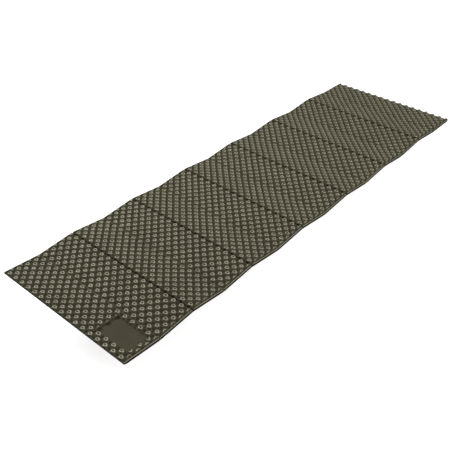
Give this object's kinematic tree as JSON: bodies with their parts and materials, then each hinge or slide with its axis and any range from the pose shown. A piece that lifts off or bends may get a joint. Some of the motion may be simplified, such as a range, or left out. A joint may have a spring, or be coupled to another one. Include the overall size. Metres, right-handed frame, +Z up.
{
  "type": "folding foam sleeping pad",
  "caption": "Closed-cell foam sleeping pad with an egg-crate surface, pressed creases that fold it like an accordion, and a blank patch at one end.",
  "frame": {"origin": "under the middle of the pad as it lies at rest, at the level of its lowest bumps", "axes": "+X across the pad, to the right seen from the end with the blank patch; +Y along the pad, away from that end; +Z up, out of the face with the blank patch"},
  "size_m": [0.56, 1.8634, 0.0321],
  "materials": {
    "foam": "closed-cell polyethylene foam with its moulded skin, olive green, matte with a faint sheen",
    "pressed_foam": "the same foam pressed thin and dense along a fold line"
  },
  "bodies": {
    "section_01": {"panel_01": "foam"},
    "section_02": {"panel_02": "foam", "crease_01": "pressed_foam"},
    "section_03": {"panel_03": "foam", "crease_02": "pressed_foam"},
    "section_04": {"panel_04": "foam", "crease_03": "pressed_foam"},
    "section_05": {"panel_05": "foam", "crease_04": "pressed_foam"},
    "section_06": {"panel_06": "foam", "crease_05": "pressed_foam"},
    "section_07": {"panel_07": "foam", "crease_06": "pressed_foam", "crease_07": "pressed_foam"},
    "section_08": {"panel_08": "foam", "crease_08": "pressed_foam"},
    "section_09": {"panel_09": "foam", "crease_09": "pressed_foam"},
    "section_10": {"panel_10": "foam", "crease_10": "pressed_foam"},
    "section_11": {"panel_11": "foam", "crease_11": "pressed_foam"},
    "section_12": {"panel_12": "foam", "crease_12": "pressed_foam"},
    "section_13": {"panel_13": "foam", "crease_13": "pressed_foam"},
    "section_14": {"panel_14": "foam"}
  },
  "joints": [
    {"name": "fold_01", "type": "hinge", "parent": "section_02", "child": "section_01", "pos_m": [0, -0.80002, 0.01515], "axis": [-1, 0, 0], "range_deg": [-9.15, 170.85], "stiffness_Nm_per_rad": 0.5},
    {"name": "fold_02", "type": "hinge", "parent": "section_03", "child": "section_02", "pos_m": [0, -0.66665, 0.01799], "axis": [1, 0, 0], "range_deg": [-11.3, 168.7], "stiffness_Nm_per_rad": 0.5},
    {"name": "fold_03", "type": "hinge", "parent": "section_04", "child": "section_03", "pos_m": [0, -0.53328, 0.01515], "axis": [-1, 0, 0], "range_deg": [-11.3, 168.7], "stiffness_Nm_per_rad": 0.5},
    {"name": "fold_04", "type": "hinge", "parent": "section_05", "child": "section_04", "pos_m": [0, -0.39992, 0.01799], "axis": [1, 0, 0], "range_deg": [-11.3, 168.7], "stiffness_Nm_per_rad": 0.5},
    {"name": "fold_05", "type": "hinge", "parent": "section_06", "child": "section_05", "pos_m": [0, -0.26655, 0.01515], "axis": [-1, 0, 0], "range_deg": [-11.3, 168.7], "stiffness_Nm_per_rad": 0.5},
    {"name": "fold_06", "type": "hinge", "parent": "section_07", "child": "section_06", "pos_m": [0, -0.13318, 0.01799], "axis": [1, 0, 0], "range_deg": [-11.3, 168.7], "stiffness_Nm_per_rad": 0.5},
    {"name": "fold_07", "type": "hinge", "parent": "section_07", "child": "section_08", "pos_m": [0, 0.00019, 0.01515], "axis": [1, 0, 0], "range_deg": [-11.3, 168.7], "stiffness_Nm_per_rad": 0.5},
    {"name": "fold_08", "type": "hinge", "parent": "section_08", "child": "section_09", "pos_m": [0, 0.13356, 0.01799], "axis": [-1, 0, 0], "range_deg": [-11.3, 168.7], "stiffness_Nm_per_rad": 0.5},
    {"name": "fold_09", "type": "hinge", "parent": "section_09", "child": "section_10", "pos_m": [0, 0.26692, 0.01515], "axis": [1, 0, 0], "range_deg": [-11.3, 168.7], "stiffness_Nm_per_rad": 0.5},
    {"name": "fold_10", "type": "hinge", "parent": "section_10", "child": "section_11", "pos_m": [0, 0.40029, 0.01799], "axis": [-1, 0, 0], "range_deg": [-11.3, 168.7], "stiffness_Nm_per_rad": 0.5},
    {"name": "fold_11", "type": "hinge", "parent": "section_11", "child": "section_12", "pos_m": [0, 0.53366, 0.01515], "axis": [1, 0, 0], "range_deg": [-11.3, 168.7], "stiffness_Nm_per_rad": 0.5},
    {"name": "fold_12", "type": "hinge", "parent": "section_12", "child": "section_13", "pos_m": [0, 0.66703, 0.01799], "axis": [-1, 0, 0], "range_deg": [-11.3, 168.7], "stiffness_Nm_per_rad": 0.5},
    {"name": "fold_13", "type": "hinge", "parent": "section_13", "child": "section_14", "pos_m": [0, 0.80039, 0.01515], "axis": [1, 0, 0], "range_deg": [-5.65, 174.35], "stiffness_Nm_per_rad": 0.5}
  ]
}
